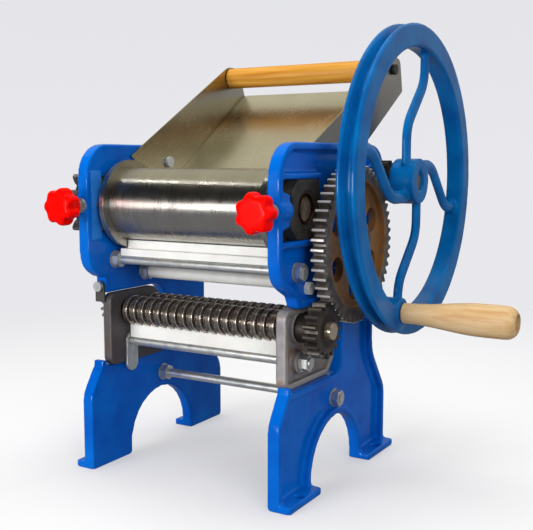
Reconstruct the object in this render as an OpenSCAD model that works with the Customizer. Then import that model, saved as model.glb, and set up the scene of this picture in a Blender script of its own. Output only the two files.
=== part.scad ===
// Hand-cranked noodle press: two cast side frames, a pair of sheeting rollers, a drop-in
// cutter unit, a sheet-metal hopper and a geared handwheel.
// X runs towards the handwheel, Y to the back, Z up. The origin lies on the bench, midway
// between the four foot bolts. Positions below are given from the front of the feet.

/* [Side frames] */
// Clear width between the two side frames
frame_gap = 180; // [150:1:240]
// Thickness of the cast web
web_t = 5; // [4:0.5:8]
// Depth of the flange that runs round the outside of each web
flange_depth = 11; // [10:0.5:14]
// Thickness of that flange, seen from the side
flange_t = 6; // [4:0.5:8]
// Front-to-back length of a frame at its feet
foot_span = 204; // [190:1:230]
// Front-to-back length of the front foot
front_foot = 54; // [44:1:62]
// Front-to-back length of the rear foot
rear_foot = 56; // [44:1:62]
// Width of a foot, from the inner face of the frame
foot_w = 21; // [19:0.5:30]
// Thickness of a foot
foot_t = 6; // [4:0.5:9]
// Diameter of the foot bolt holes
foot_hole_d = 8; // [5:0.5:9]
// Distance of a foot bolt from the outer edge of its foot
foot_hole_edge = 7; // [6:0.5:9]
// Distance of a foot bolt from the end of the frame
foot_hole_y = 27; // [18:0.5:34]
// Height of the arch between the feet
arch_h = 54.5; // [44:0.5:60]
// Height of the shelf that carries the cutter unit
shelf_z = 91; // [86:0.5:110]
// Front-to-back depth of the waist
waist_depth = 66; // [54:0.5:76]
// Height of the frame above the front roller's axis
head_rise = 53; // [44:0.5:66]
// Distance from the crank's axis to the back of the head
head_reach = 31; // [26:0.5:42]
// Radius of the upper corners of the head
head_r = 28; // [16:1:34]
// Radius of the front lower corner of the head
chin_r = 22; // [16:1:28]
// Height of that corner above the lower edge of the head
chin_rise = 24; // [20:0.5:28]

/* [Sheeting rollers] */
// Diameter of both rollers
roller_d = 64; // [56:0.5:72]
// Fall of the line of centres from the front roller to the rear one
roller_incline = 29; // [24:0.5:34]
// Height of the end discs of the front roller above its surface
disc_rise = 7; // [4:0.5:10]
// Thickness of those discs
disc_t = 5; // [3:0.5:8]
// Diameter of the front roller's journals
front_journal_d = 20; // [16:0.5:22]
// Diameter of the rear roller's journals
rear_journal_d = 22; // [18:0.5:26]
// Wall of the bearing bushes
bush_wall = 2.5; // [2:0.25:3.5]
// Length of a sliding bearing block
block_len = 46.6; // [43:0.2:52]
// Height of a sliding bearing block
block_h = 47.6; // [42:0.2:52]
// Distance from the front of a block to the roller's axis
block_lead = 25.6; // [24:0.2:29]
// Travel of the blocks that opens the rollers
block_travel = 2.5; // [1:0.1:4]

/* [Thickness knobs] */
// Diameter of an adjusting screw
screw_d = 8; // [5:0.5:8.5]
// Diameter over the lobes of a knob
knob_d = 33; // [28:0.5:38]
// Radius of a lobe
lobe_r = 4.3; // [3.5:0.1:5.5]
// Number of lobes
knob_lobes = 7; // [5:1:9]
// Thickness of a knob
knob_t = 15; // [12:0.5:20]

/* [Gears] */
// Module of the drive gears
drive_module = 2.5; // [2.2:0.05:2.8]
// Teeth on the large drive gear
drive_teeth = 52; // [46:1:58]
// Teeth on the crank pinion
pinion_teeth = 13; // [12:1:16]
// Teeth on the cutter gear
cutter_teeth = 17; // [15:1:20]
// Face width of the drive gear
gear_w = 11.5; // [9:0.5:14]
// Number of lightening holes in its web
gear_holes = 6; // [4:1:7]
// Diameter of those holes
gear_hole_d = 21; // [14:0.5:23]
// Teeth on each gear that couples the two rollers
sync_teeth = 13; // [11:1:16]
// Face width of the coupling gears
sync_w = 13; // [8:0.5:18]
// Direction of the crank pinion from the drive gear
pinion_angle = 39.6; // [36:0.2:46]
// Direction of the cutter gear from the drive gear
cutter_angle = 228.6; // [225:0.2:232]

/* [Handwheel] */
// Outer diameter of the handwheel
wheel_d = 271; // [240:1:300]
// Radial depth of the rim
rim_depth = 20.5; // [16:0.5:26]
// Width of the rim
rim_w = 17; // [14:0.5:20]
// Depth of the belt groove in the rim
groove_depth = 8.5; // [4:0.5:12]
// Diameter of the hub
hub_d = 40; // [36:1:48]
// Length of the hub
hub_len = 22; // [20:0.5:28]
// Width of a spoke in the plane of the wheel
spoke_w = 12; // [9:0.5:12.5]
// Thickness of a spoke along the shaft
spoke_t = 7.5; // [6:0.5:10]
// Diameter of the crank shaft
crank_d = 16; // [12:0.5:18]
// Distance of the handle's axis from the outside of the rim
handle_inset = 17.2; // [14:0.2:20]
// Length of the wooden handle
handle_len = 98; // [80:1:120]
// Largest diameter of the wooden handle
handle_d = 27.6; // [22:0.2:32]
// Diameter of the spindle that the handle turns on
spindle_d = 8; // [6:0.5:9]

/* [Cutter unit] */
// Thickness of a cutter side plate over its rim
cutter_plate_t = 9.4; // [7:0.2:12]
// Front-to-back length of a cutter side plate
cutter_plate_len = 86.6; // [80:0.2:94]
// Height of a cutter side plate
cutter_plate_h = 65.5; // [63:0.5:70]
// Distance from the front of the feet to the front of the side plates
cutter_front = 21.4; // [18:0.2:26]
// Distance of the front cutter axis behind the front of the side plates
cutter_axis_y = 24; // [21:0.2:28]
// Height of the cutter axes above the shelf
cutter_axis_h = 48.8; // [46:0.2:50]
// Distance between the two cutter rollers
cutter_pitch = 24; // [22:0.1:28]
// Diameter of a cutter disc
cutter_disc_d = 26; // [24:0.1:28]
// Spacing of the discs along a cutter roller
cutter_step = 9; // [6:0.25:14]
// Diameter of the cutter shafts
cutter_shaft_d = 14; // [10:0.5:15]
// Diameter of the rod that ties the cutter plates together
cutter_rod_d = 9; // [7:0.5:10]

/* [Tie rods and fasteners] */
// Diameter of the tie rods
tie_rod_d = 8; // [6:0.5:10]
// Width across the flats of the nuts
nut_af = 13; // [12:0.5:15]
// Thickness of a nut
nut_t = 6.5; // [5:0.5:8]
// Diameter of a washer
washer_d = 16; // [15:0.5:19]
// Thickness of a washer
washer_t = 1.6; // [1:0.1:2.5]
// Diameter of the guide tube on the rear tie rod
guide_d = 11.5; // [11:0.5:13]
// Diameter of the screws that hold the hopper and its bar
hopper_screw_d = 5; // [4:0.5:6]

/* [Hopper] */
// Thickness of the hopper sheet
sheet_t = 1.2; // [0.8:0.1:2]
// Slope of the hopper floor
floor_slope = 33.4; // [30:0.2:37]
// Length of the hopper floor along its slope
floor_len = 186; // [150:1:210]
// Outward lean of the side walls
wall_lean = 3; // [1:0.25:5]
// Diameter of the wooden bar
bar_d = 21; // [17:0.5:25]

/* [Clearances] */
// Radial clearance of a running fit
running_fit = 0.05; // [0.02:0.01:0.1]
// Gap at faces that slide or turn past each other
side_gap = 0.3; // [0.2:0.05:0.5]
// Gap between the rollers at rest
rest_gap = 1; // [0.4:0.1:3]

/* [Hidden] */
$fn = 64;

// How far a cut runs past the face that it opens
over = 1;

// Stations across the machine, measured from its middle plane
boss_rise = 3;
inner_x = frame_gap / 2;
web_x = inner_x + web_t;
flange_x = inner_x + flange_depth;
boss_x = flange_x + boss_rise;

// Gear train, placed from the cutter unit upwards: the drive gear on the rear roller meshes
// with the cutter gear below it and the crank pinion above it
pressure_angle = 25;
drive_backlash = 0.3;
sync_backlash = 0.9;
cutter_sync_teeth = 12;
function toward(angle) = [cos(angle), sin(angle)];
function centre_distance(module_size, z1, z2) = module_size * (z1 + z2) / 2;
cutter_axis = [cutter_front + cutter_axis_y, shelf_z + cutter_axis_h];
rear_cutter_axis = cutter_axis + [cutter_pitch, 0];
rear_axis = cutter_axis - centre_distance(drive_module, drive_teeth, cutter_teeth) * toward(cutter_angle);
crank_axis = rear_axis + centre_distance(drive_module, drive_teeth, pinion_teeth) * toward(pinion_angle);
roller_pitch = roller_d + rest_gap;
front_axis = rear_axis - roller_pitch * toward(-roller_incline);
sync_module = roller_pitch / sync_teeth;
cutter_sync_module = cutter_pitch / cutter_sync_teeth;

// Drive gear, coupling gears and handwheel
gear_room = 4.3;
wheel_room = 7;
sync_room = 7;
gear_x0 = boss_x + gear_room;
gear_x1 = gear_x0 + gear_w;
gear_hub_rise = 2;
sync_x0 = boss_x + sync_room;
sync_x1 = sync_x0 + sync_w;
shaft_proud = 1;
hub_x0 = gear_x1 + wheel_room;
hub_x1 = hub_x0 + hub_len;
rim_x0 = hub_x1 - rim_w;
wheel_mid = (rim_x0 + hub_x1) / 2;
crank_end_depth = 3;
crank_x1 = hub_x1 - crank_end_depth;
key_w = 5;
key_h = 5;

// Sliding blocks of the front roller and the screws that move them
bush_proud = 2;
block_lip_t = 3.4;
block_lip_h = 4;
block_clear = 0.2;
block_room = 4.5;
block_recess = 1.5;
block_y0 = front_axis[0] - block_lead;
block_y1 = block_y0 + block_len;
block_out = flange_x - 0.5;
collar_t = 3;
collar_d = screw_d + 5;
collar_clear = 0.5;
window_y0 = block_y0 - block_travel - collar_t - block_room;
window_y1 = block_y1 + 2;
window_h = block_h + 2 * block_clear;
window_r = 4;
screw_x = inner_x + flange_depth / 2;
screw_fit = 0.1;
screw_grip = 8.5;
screw_boss_y0 = -2;
screw_boss_y1 = block_y0 - block_travel - side_gap;
screw_boss_foot = 32;
screw_boss_tip = 25;
screw_end = block_y0 + screw_grip;
knob_room = 4.7;
knob_neck = 8;
knob_floor = 8;
knob_y0 = screw_boss_y0 - side_gap - collar_t - knob_room - knob_neck - knob_t;

// Roller stations
disc_d = roller_d + 2 * disc_rise;
shoulder_rise = 4;
front_shoulder_d = front_journal_d + 2 * shoulder_rise;
rear_shoulder_d = rear_journal_d + 2 * shoulder_rise;
lip_x0 = inner_x - side_gap - block_lip_t;
neck_len = 3;
disc_x1 = lip_x0 - side_gap - neck_len;
disc_x0 = disc_x1 - disc_t;
disc_clear = 0.4;
rear_half = disc_x0 - disc_clear;
front_shaft_x1 = block_out - 2 * block_recess;

// Cutter unit
cutter_lap = 4.3;
cutter_out = inner_x + cutter_lap;
cutter_in = cutter_out - cutter_plate_t;
cutter_web_t = 4;
cutter_rim = 5;
shelf_clear = 1;
head_clear = 0.5;
cutter_back = cutter_front + cutter_plate_len;
cutter_top = shelf_z + cutter_plate_h;
cutter_rod_back = 2.1;
cutter_rod_drop = 28.8;
cutter_rod_pos = cutter_axis + [cutter_rod_back, -cutter_rod_drop];
cutter_bush_d = cutter_shaft_d + 2 * bush_wall;
core_clear = 2.5;
cutter_core_d = 2 * (cutter_pitch - cutter_disc_d / 2 - core_clear);
blade_clear = 0.2;
cutter_blade = cutter_step / 2 - blade_clear;
cutter_end_gap = 2;
cutter_half = cutter_in - cutter_end_gap;
cutter_discs = 1 + floor((2 * cutter_half - cutter_step / 2 - cutter_blade) / cutter_step);
cutter_sync_x0 = cutter_out + side_gap + 2;
cutter_sync_w = 9.7;
link_t = 2.5;
link_len = 36;
link_w = 15;

// Side frame heights and depths that follow from the pieces it carries
head_low = cutter_top + head_clear;
frame_h = front_axis[1] + head_rise;
head_back = crank_axis[0] + head_reach;
waist_front = cutter_back + shelf_clear;
waist_back = waist_front + waist_depth;

// Tie rods, as positions in the side view
scraper_t = 6.2;
rod_lead = 11.2;
rod_clear = washer_d / 2 + side_gap;
rod_boss_t = 1;
rod_proud = 4;
rod_a = front_axis - [rod_lead, disc_d / 2 + side_gap + scraper_t + tie_rod_d / 2];
rod_b_lead = 6.8;
rod_c_lead = 33.5;
rod_b = [waist_front - rod_b_lead, arch_h + flange_t + rod_clear];
rod_c = [waist_front - rod_c_lead, head_low + flange_t + rod_clear];
rods = [rod_a, rod_b, rod_c];
nut_r = nut_af / 2 / cos(30);
nut_in = inner_x - washer_t - nut_t;

// Hopper
floor_clear = 1;
floor_lead = 16;
floor_dir = toward(floor_slope);
floor_up = toward(floor_slope + 90);
floor_start = rear_axis + (roller_d / 2 + floor_clear) * floor_up + floor_lead * floor_dir;
function on_floor(along, below) = floor_start + along * floor_dir - below * floor_up;
floor_end = on_floor(floor_len, 0);
wall_pivot_z = frame_h - 4;
wall_face = inner_x - 0.4;
wall_below = 3;
function wall_x(z) = wall_face + (z - wall_pivot_z) * tan(wall_lean);
sheet_clear = 0.15;
screw_head_d = 10;
screw_head_t = 3;
bar_pos = floor_end + [-22, 18];
bar_half = wall_x(bar_pos[1] - bar_d / 2) - sheet_t - sheet_clear;
bar_screw_len = 20;
hopper_screw_a = on_floor(30, -19);
hopper_screw_b = on_floor(34, wall_below + screw_head_d / 2 + 1);

// Handle
handle_angle = -109.8;
handle_pos = crank_axis + (wheel_d / 2 - handle_inset) * toward(handle_angle);
handle_boss_d = 26;
handle_boss_x1 = hub_x1 + 2;
handle_x0 = handle_boss_x1 + side_gap;
handle_x1 = handle_x0 + handle_len;
spindle_head_d = spindle_d + 7;
spindle_head_t = 4;
head_recess = 9;
spindle_head_x0 = handle_x1 - head_recess + side_gap;

// Latch on the left frame
latch_t = 2;
latch_w = 10;
latch_len = 19;
latch_screw_d = 5;
latch_grip = 8;
latch_pos = [cutter_front - side_gap - latch_t, head_low + 6];
latch_back = latch_pos[0] + latch_t;

// Rounded outlines from corners [y, z, radius], listed anticlockwise

arc_step = 13;
function unit(v) = v / norm(v);
function turn(a, b) = a[0] * b[1] - a[1] * b[0];
function left_of(v) = [-v[1], v[0]];
function at(c, i) = c[(i + len(c)) % len(c)];
function spot(c, i) = [at(c, i)[0], at(c, i)[1]];
function heading(c, i) = unit(spot(c, i + 1) - spot(c, i));

function corner_arc(p, d0, d1, r) =
    let (bend = atan2(turn(d0, d1), d0 * d1))
    r <= 0 || abs(bend) < 0.1 ? [p] :
    let (
        run = r * tan(abs(bend) / 2),
        side = sign(bend),
        start = p - d0 * run,
        centre = start + left_of(d0) * r * side,
        from = start - centre,
        steps = ceil(abs(bend) / arc_step)
    )
    [for (i = [0 : steps])
        let (a = bend * i / steps)
        centre + [from[0] * cos(a) - from[1] * sin(a), from[0] * sin(a) + from[1] * cos(a)]];

function outline(c) =
    [for (i = [0 : len(c) - 1])
        each corner_arc(spot(c, i), heading(c, i - 1), heading(c, i), at(c, i)[2])];

// The same corners moved inwards by w, with the radii that keep the wall even
function inset(c, w) =
    [for (i = [0 : len(c) - 1])
        let (
            d0 = heading(c, i - 1),
            d1 = heading(c, i),
            n0 = left_of(d0),
            n1 = left_of(d1),
            p = spot(c, i) + (n0 + n1) * w / (1 + n0 * n1),
            r = at(c, i)[2]
        )
        [p[0], p[1], turn(d0, d1) > 0 ? max(r - w, 0) : r + w]];

function box_corners(y0, z0, y1, z1, r) = [[y0, z0, r], [y1, z0, r], [y1, z1, r], [y0, z1, r]];

// Involute gear outline with stub teeth; phase is the direction of one tooth

addendum = 0.8;
dedendum = 1.1;
// Heights of the points on a flank, in modules from the pitch circle
flank = [-dedendum, -0.35, 0.25, addendum];

function involute(a) = tan(a) * 180 / PI - a;
function half_tooth(z, m, backlash, r) =
    let (pitch_r = z * m / 2, base_r = pitch_r * cos(pressure_angle))
    (PI * m / 2 - backlash) / (2 * pitch_r) * 180 / PI
        + involute(pressure_angle) - involute(acos(min(1, base_r / r)));
function gear_outline(z, m, backlash, phase) =
    let (last = len(flank) - 1)
    [for (i = [0 : z - 1], s = [-1, 1], k = [0 : last])
        let (
            r = m * (z / 2 + flank[s < 0 ? k : last - k]),
            a = phase + i * 360 / z + s * half_tooth(z, m, backlash, r)
        )
        r * toward(a)];
// Phase of a gear that meshes with another of phase p1, seen in direction dir from it
function mesh_phase(p1, z1, z2, dir) = dir + 180 + 180 / z2 - (p1 - dir) * z1 / z2;

// Helpers that set shapes in the machine

module seat() {
    translate([0, -foot_span / 2, 0])
        children();
}

// A side-view shape extruded along X from x0 to x1
module slab(x0, x1) {
    translate([x0, 0, 0])
        rotate([90, 0, 90])
            linear_extrude(x1 - x0)
                children();
}

module rod_x(pos, x0, x1, d, fn = 64) {
    translate([x0, pos[0], pos[1]])
        rotate([0, 90, 0])
            cylinder(d = d, h = x1 - x0, $fn = fn);
}

module rod_y(x, y0, y1, z, d) {
    translate([x, y0, z])
        rotate([-90, 0, 0])
            cylinder(d = d, h = y1 - y0);
}

// A ring along X
module ring_x(pos, x0, x1, d_out, d_in) {
    difference() {
        rod_x(pos, x0, x1, d_out);
        rod_x(pos, x0 - over, x1 + over, d_in);
    }
}

// A body turned about an X axis; the profile is drawn as [radius, x]
module turned(pos) {
    translate([0, pos[0], pos[1]])
        rotate([0, 90, 0])
            rotate_extrude()
                children();
}

module both_sides() {
    children();
    mirror([1, 0, 0])
        children();
}

module gear(pos, x0, x1, z, m, backlash, phase, bore) {
    difference() {
        slab(x0, x1)
            translate(pos)
                polygon(gear_outline(z, m, backlash, phase));
        rod_x(pos, x0 - over, x1 + over, bore);
    }
}

// Side frames

foot_r = 2;
arch_r = (foot_span - front_foot - rear_foot) / 2 - 0.1;
heel_rise = 3.5;
waist_r = 30;
waist_drop = 7;
waist_rise = 3;
nape_rise = 33;
shelf_lip = 7;
chin_step = 10;
chin_step_y = cutter_front + 5;
chin_step_run = 4;
toe_drop = 23;
frame_corners = [
    [0, 0, foot_r],
    [front_foot, 0, foot_r],
    [front_foot, arch_h, min(arch_r, arch_h - foot_r)],
    [foot_span - rear_foot, arch_h, min(arch_r, arch_h - foot_r)],
    [foot_span - rear_foot, 0, foot_r],
    [foot_span, 0, foot_r],
    [foot_span, arch_h + heel_rise, 16],
    [waist_back, shelf_z + waist_drop, waist_r],
    [waist_back, head_low + waist_rise, waist_r],
    [head_back, head_low + nape_rise, 24],
    [head_back, frame_h, head_r],
    [0, frame_h, head_r],
    [0, head_low + chin_rise, chin_r],
    [chin_step_y, head_low + chin_step, 3],
    [chin_step_y + chin_step_run, head_low, 6],
    [waist_front, head_low, 18],
    [waist_front, shelf_z, 12],
    [cutter_front - shelf_lip, shelf_z, 5],
    [0, shelf_z - toe_drop, 14]
];

module foot(y0, y1) {
    linear_extrude(foot_t)
        polygon(outline(box_corners(inner_x, y0, inner_x + foot_w, y1, foot_r)));
}

// Tapered boss of the adjusting screw, seen from the side
module screw_boss_side() {
    z = front_axis[1];
    polygon([[flange_t / 2, z - screw_boss_foot / 2], [screw_boss_y1, z - screw_boss_tip / 2],
             [screw_boss_y1, z + screw_boss_tip / 2], [flange_t / 2, z + screw_boss_foot / 2]]);
}

module block_window() {
    slab(inner_x - over, flange_x + over)
        difference() {
            polygon(outline(box_corners(window_y0, front_axis[1] - window_h / 2,
                                        window_y1, front_axis[1] + window_h / 2, window_r)));
            screw_boss_side();
        }
}

module side_frame() {
    lip_w = 5;
    rod_boss_d = washer_d + 3;
    rear_bush_d = rear_journal_d + 2 * bush_wall;
    crank_bush_d = crank_d + 2 * bush_wall;
    screw_boss_d = flange_depth + 7;
    stop_t = 6;
    stop_h = 5;
    difference() {
        union() {
            slab(inner_x, web_x)
                polygon(outline(frame_corners));
            slab(inner_x, flange_x)
                difference() {
                    polygon(outline(frame_corners));
                    polygon(outline(inset(frame_corners, flange_t)));
                }
            foot(0, front_foot);
            foot(foot_span - rear_foot, foot_span);
            // lips above and below the window guide the sliding block
            for (side = [-1, 1])
                translate([inner_x, flange_t / 2,
                           front_axis[1] + side * (window_h / 2 + lip_w / 2) - lip_w / 2])
                    cube([flange_depth, window_y1 - flange_t / 2, lip_w]);
            rod_x(rear_axis, inner_x, boss_x, rear_bush_d + 14);
            rod_x(crank_axis, inner_x, boss_x, crank_bush_d + 11);
            for (p = rods)
                rod_x(p, inner_x, web_x + rod_boss_t, rod_boss_d);
            // boss for the adjusting screw in the front flange
            slab(inner_x, flange_x)
                screw_boss_side();
            intersection() {
                rod_y(screw_x, screw_boss_y0, screw_boss_y1, front_axis[1], screw_boss_d);
                translate([inner_x, screw_boss_y0, front_axis[1] - screw_boss_d / 2])
                    cube([screw_boss_d, screw_boss_y1 - screw_boss_y0, screw_boss_d]);
            }
            // stop in front of the cutter plate
            translate([inner_x, cutter_front - side_gap - stop_t, shelf_z - flange_t / 2])
                cube([flange_depth, stop_t, stop_h + flange_t / 2]);
        }
        block_window();
        rod_x(rear_axis, inner_x - over, boss_x + over, rear_bush_d);
        rod_x(crank_axis, inner_x - over, boss_x + over, crank_bush_d);
        for (p = rods)
            rod_x(p, inner_x - over, flange_x + over, tie_rod_d);
        rod_y(screw_x, screw_boss_y0 - over, window_y0 + over, front_axis[1], screw_d + 2 * screw_fit);
        // room for the screw's inner collar
        rod_y(screw_x, window_y0, screw_boss_y1 + over, front_axis[1], collar_d + 2 * collar_clear);
        for (p = [hopper_screw_a, hopper_screw_b])
            rod_x(p, inner_x - over, web_x + over, hopper_screw_d);
        for (y = [foot_hole_y, foot_span - foot_hole_y])
            translate([inner_x + foot_w - foot_hole_edge, y, -over])
                cylinder(d = foot_hole_d, h = max(foot_t, flange_t) + 2 * over);
    }
}

module left_frame() {
    ledge = latch_pos[1] + latch_w / 2 + 4;
    lug_t = latch_grip + 4;
    color("royalblue")
        seat()
            mirror([1, 0, 0])
                difference() {
                    union() {
                        side_frame();
                        // lug that carries the latch of the cutter unit
                        translate([inner_x, latch_back, head_low])
                            cube([flange_depth, lug_t, ledge - head_low]);
                    }
                    // flat cut under the chin, where the latch hangs
                    translate([inner_x - over, -over, head_low - over])
                        cube([flange_depth + 2 * over, latch_back + over, ledge - head_low + over]);
                    rod_y(screw_x, latch_back - over, latch_back + latch_grip, latch_pos[1],
                          latch_screw_d);
                }
}

module right_frame() {
    color("royalblue")
        seat()
            side_frame();
}

// Tie rods with a nut and a washer on either side of each web

module tie_rods() {
    color("silver")
        seat()
            for (p = rods)
                rod_x(p, -flange_x - rod_proud, flange_x + rod_proud, tie_rod_d);
}

module nut_x(p, x0, bore) {
    difference() {
        rod_x(p, x0, x0 + nut_t, 2 * nut_r, 6);
        rod_x(p, x0 - over, x0 + nut_t + over, bore);
    }
}

module tie_rod_nuts() {
    color("lightgray")
        seat()
            both_sides()
                for (p = rods) {
                    nut_x(p, web_x + rod_boss_t + washer_t, tie_rod_d);
                    nut_x(p, nut_in, tie_rod_d);
                }
}

module tie_rod_washers() {
    color("gainsboro")
        seat()
            both_sides()
                for (p = rods) {
                    ring_x(p, web_x + rod_boss_t, web_x + rod_boss_t + washer_t, washer_d, tie_rod_d);
                    ring_x(p, inner_x - washer_t, inner_x, washer_d, tie_rod_d);
                }
}

module guide_tube() {
    half = nut_in - side_gap;
    color("white")
        seat()
            ring_x(rod_c, -half, half, guide_d, tie_rod_d + 2 * running_fit);
}

// Plastic strip that lies on the front tie rod and strips the dough from the front roller
module roller_scraper() {
    hook = 1.5;
    low = rod_a[1] + tie_rod_d / 2 - hook;
    under_disc = front_axis[1] - disc_d / 2 - side_gap;
    under_roller = front_axis[1] - roller_d / 2;
    long_half = nut_in - side_gap;
    short_half = disc_x0 - side_gap;
    front = rod_a[0] - 2;
    back = front_axis[0] + 5;
    color("white")
        seat()
            difference() {
                union() {
                    slab(-long_half, long_half)
                        polygon(outline(box_corners(front, low, back, under_disc, 1)));
                    // ridge that reaches up to the roller between the discs
                    slab(-short_half, short_half)
                        polygon(outline([[front + 5, under_disc - 2, 0], [back, under_disc - 2, 0],
                                         [back, under_roller + 4, 0], [front + 6, under_roller + 2, 2]]));
                }
                // room for the roller in every place of its bearing blocks
                for (open = [0, block_travel])
                    rod_x(front_axis - [open, 0], -inner_x, inner_x, roller_d + 2 * side_gap);
                translate([-inner_x, front_axis[0] - block_travel, under_roller - side_gap])
                    cube([2 * inner_x, block_travel, roller_d]);
                rod_x(rod_a, -inner_x, inner_x, tie_rod_d);
            }
}

// Bearings of the rear roller and the crank

module rear_roller_bushes() {
    color("peru")
        seat()
            both_sides()
                ring_x(rear_axis, inner_x - bush_proud, boss_x, rear_journal_d + 2 * bush_wall,
                       rear_journal_d + 2 * running_fit);
}

module crank_bushes() {
    color("peru")
        seat()
            both_sides()
                ring_x(crank_axis, inner_x - bush_proud, boss_x, crank_d + 2 * bush_wall,
                       crank_d + 2 * running_fit);
}

// Sliding blocks that carry the front roller; an inner lip keeps each in its window

module bearing_block() {
    z = front_axis[1];
    bush_d = front_journal_d + 2 * bush_wall;
    corner_r = 5;
    nose_r = 2;
    nose = 10;
    half = block_h / 2;
    difference() {
        union() {
            slab(inner_x - side_gap - over, block_out)
                polygon(outline([[block_y0, z - half + nose, nose_r], [block_y0 + nose, z - half, nose_r],
                                 [block_y1, z - half, corner_r], [block_y1, z + half, corner_r],
                                 [block_y0 + nose, z + half, nose_r], [block_y0, z + half - nose, nose_r]]));
            slab(lip_x0, inner_x - side_gap)
                polygon(outline(box_corners(block_y0, z - half - block_lip_h,
                                            block_y1, z + half + block_lip_h, corner_r)));
        }
        rod_x(front_axis, lip_x0 - over, block_out + over, bush_d);
        rod_y(screw_x, block_y0 - over, screw_end + block_travel + over, z, screw_d + 2 * screw_fit);
        // shallow recess round the shaft end
        rod_x(front_axis, block_out - block_recess, block_out + over, bush_d + 5);
    }
}

module front_bearing_blocks() {
    color("dimgray")
        seat()
            both_sides()
                bearing_block();
}

module front_roller_bushes() {
    color("peru")
        seat()
            both_sides()
                ring_x(front_axis, lip_x0, block_out - block_recess, front_journal_d + 2 * bush_wall,
                       front_journal_d + 2 * running_fit);
}

// Adjusting screws: held in the front flange by two collars, threaded into the block

module adjusting_screw() {
    z = front_axis[1];
    color("silver")
        seat()
            union() {
                rod_y(screw_x, knob_y0 + knob_floor, screw_end, z, screw_d);
                rod_y(screw_x, screw_boss_y0 - side_gap - collar_t, screw_boss_y0 - side_gap, z, collar_d);
                rod_y(screw_x, window_y0 + side_gap, window_y0 + side_gap + collar_t, z, collar_d);
            }
}

module lobed_knob() {
    z = front_axis[1];
    rim_r = knob_d / 2;
    ring = rim_r - lobe_r;
    color("crimson")
        seat()
            translate([screw_x, knob_y0, z])
                rotate([-90, 0, 0])
                    difference() {
                        union() {
                            intersection() {
                                linear_extrude(knob_t)
                                    union() {
                                        circle(d = 2 * ring + 1);
                                        for (i = [0 : knob_lobes - 1])
                                            rotate(i * 360 / knob_lobes)
                                                translate([ring, 0])
                                                    circle(r = lobe_r);
                                    }
                                // the lobes are rounded off at the front and the back
                                rotate_extrude()
                                    polygon([[0, 0], [rim_r - 5, 0], [rim_r - 1.5, 1.5],
                                             [rim_r + 1, 5], [rim_r + 1, knob_t - 4],
                                             [rim_r - 2, knob_t], [0, knob_t]]);
                            }
                            cylinder(d = screw_d + 9, h = knob_t + knob_neck);
                        }
                        translate([0, 0, knob_floor])
                            cylinder(d = screw_d, h = knob_t + knob_neck);
                    }
}

module left_knob() {
    mirror([1, 0, 0])
        lobed_knob();
}

module left_adjusting_screw() {
    mirror([1, 0, 0])
        adjusting_screw();
}

module right_knob() {
    lobed_knob();
}

module right_adjusting_screw() {
    adjusting_screw();
}

// Front roller: steel tube on a shaft, closed by two larger discs that hold the dough in

module front_roller() {
    color("lightsteelblue")
        seat()
            ring_x(front_axis, -disc_x0, disc_x0, roller_d, front_shoulder_d);
}

module front_roller_discs() {
    color("lightgray")
        seat()
            both_sides()
                ring_x(front_axis, disc_x0, disc_x1, disc_d, front_shoulder_d);
}

module front_roller_shaft() {
    color("gray")
        seat()
            union() {
                rod_x(front_axis, -disc_x1 - neck_len, disc_x1 + neck_len, front_shoulder_d);
                rod_x(front_axis, -sync_x1 - shaft_proud, front_shaft_x1, front_journal_d);
            }
}

module front_sync_gear() {
    dir = 180 - roller_incline;
    color("slategray")
        seat()
            gear(front_axis, -sync_x1, -sync_x0, sync_teeth, sync_module, sync_backlash,
                 mesh_phase(0, sync_teeth, sync_teeth, dir), front_journal_d);
}

// Rear roller, which carries the drive gear on the right and a coupling gear on the left

module rear_roller() {
    color("lightsteelblue")
        seat()
            ring_x(rear_axis, -rear_half, rear_half, roller_d, rear_shoulder_d);
}

module key_slot(pos, r, angle, x0, x1) {
    translate([0, pos[0], pos[1]])
        rotate([angle, 0, 0])
            translate([x0, r - key_h / 2, -key_w / 2])
                cube([x1 - x0, key_h, key_w]);
}

drive_key_angle = 60;
drive_key_x0 = gear_x0 + 1;
rear_shaft_x1 = gear_x1 + gear_hub_rise + shaft_proud;

module rear_roller_shaft() {
    shoulder = inner_x - bush_proud - side_gap;
    color("gray")
        seat()
            difference() {
                union() {
                    rod_x(rear_axis, -shoulder, shoulder, rear_shoulder_d);
                    rod_x(rear_axis, -sync_x1 - shaft_proud, rear_shaft_x1, rear_journal_d);
                }
                key_slot(rear_axis, rear_journal_d / 2, drive_key_angle,
                         drive_key_x0, rear_shaft_x1 + over);
            }
}

module rear_sync_gear() {
    color("slategray")
        seat()
            gear(rear_axis, -sync_x1, -sync_x0, sync_teeth, sync_module, sync_backlash,
                 0, rear_journal_d);
}

module drive_gear() {
    rim_t = 9;
    rim_r = drive_module * (drive_teeth / 2 - dedendum) - rim_t;
    gear_hub_d = rear_journal_d + 16;
    gear_hub_x1 = gear_x1 + gear_hub_rise;
    recess = 4.5;
    hole_ring = (rim_r + gear_hub_d / 2) / 2 + 1.5;
    first_hole = 30;
    color("rosybrown")
        seat()
            difference() {
                union() {
                    slab(gear_x0, gear_x1)
                        translate(rear_axis)
                            polygon(gear_outline(drive_teeth, drive_module, drive_backlash, 0));
                    rod_x(rear_axis, boss_x + side_gap, gear_hub_x1, gear_hub_d);
                }
                ring_x(rear_axis, gear_x1 - recess, gear_x1 + over, 2 * rim_r, gear_hub_d);
                rod_x(rear_axis, boss_x, gear_hub_x1 + over, rear_journal_d);
                for (i = [0 : gear_holes - 1])
                    rod_x(rear_axis + hole_ring * toward(first_hole + i * 360 / gear_holes),
                          gear_x0 - over, gear_x1 + over, gear_hole_d);
                key_slot(rear_axis, rear_journal_d / 2, drive_key_angle, drive_key_x0, gear_hub_x1 + over);
            }
}

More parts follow.
